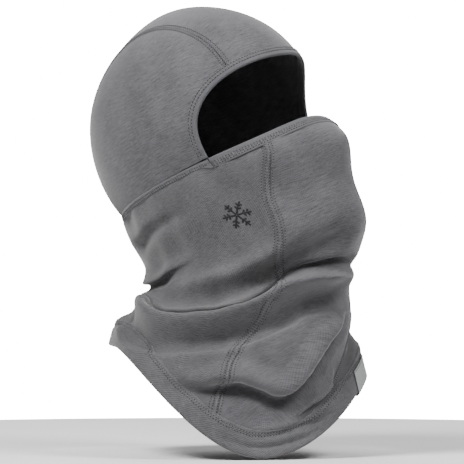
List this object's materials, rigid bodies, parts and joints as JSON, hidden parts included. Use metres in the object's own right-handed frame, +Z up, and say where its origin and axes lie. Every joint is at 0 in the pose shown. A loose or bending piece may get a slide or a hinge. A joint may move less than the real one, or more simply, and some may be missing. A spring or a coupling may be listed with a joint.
{
  "type": "balaclava",
  "caption": "Knitted full-head balaclava with an eye opening, a face cover that pulls down and a long neck with a hem that lies over the shoulders.",
  "frame": {"origin": "midway between the wearer's ears, on the plane of the joining band", "axes": "+Z up, -Y the way the wearer's chest faces, +X the wearer's left; the head is turned 40 degrees to the left, tilted back 22 degrees and leaned 6 degrees to the right"},
  "size_m": [0.2114, 0.2176, 0.3549],
  "materials": {
    "hood_knit": "matte heather jersey knit",
    "neck_knit": "matte fine twill knit",
    "binding": "matte folded jersey",
    "thread": "matte spun thread",
    "elastic": "satin elastic tape",
    "loop_label": "woven tape",
    "care_tape": "printed satin tape, blank",
    "print_ink": "matte transfer film"
  },
  "bodies": {
    "neck": {"face_panel": "hood_knit", "neck_panel": "neck_knit", "joining_band": "binding", "joining_stitching": "thread", "face_seam_stitching_right": "thread", "face_seam_stitching_left": "thread", "bottom_hem": "hood_knit", "hem_stitching": "thread", "hem_label": "loop_label", "label_stitching": "thread", "care_label": "care_tape", "cheek_print": "print_ink"},
    "hood": {"crown_panel": "hood_knit", "hood_side_right": "hood_knit", "hood_side_left": "hood_knit", "eye_opening_binding": "binding", "eye_opening_elastic": "elastic", "crown_stitching_right": "thread", "crown_stitching_left": "thread", "eye_opening_stitching": "thread"},
    "face_cover": {"face_edge_band": "binding", "face_edge_elastic": "elastic", "face_edge_stitching": "thread"}
  },
  "joints": [
    {"name": "face_cover_pull_down", "type": "hinge", "parent": "neck", "child": "face_cover", "pos_m": [0.02702, -0.03058, 0.00575], "axis": [0.7367, 0.6693, 0.0969], "range_deg": [0, 70], "deforming": ["face_panel", "neck_panel", "face_seam_stitching_right", "face_seam_stitching_left"]},
    {"name": "hood_push_back", "type": "hinge", "parent": "neck", "child": "hood", "pos_m": [0.02384, -0.02841, 0.01498], "axis": [-0.7367, -0.6693, -0.0969], "range_deg": [0, 60], "deforming": ["crown_panel", "hood_side_right", "hood_side_left", "eye_opening_binding", "eye_opening_elastic", "eye_opening_stitching", "crown_stitching_right", "crown_stitching_left"]}
  ]
}
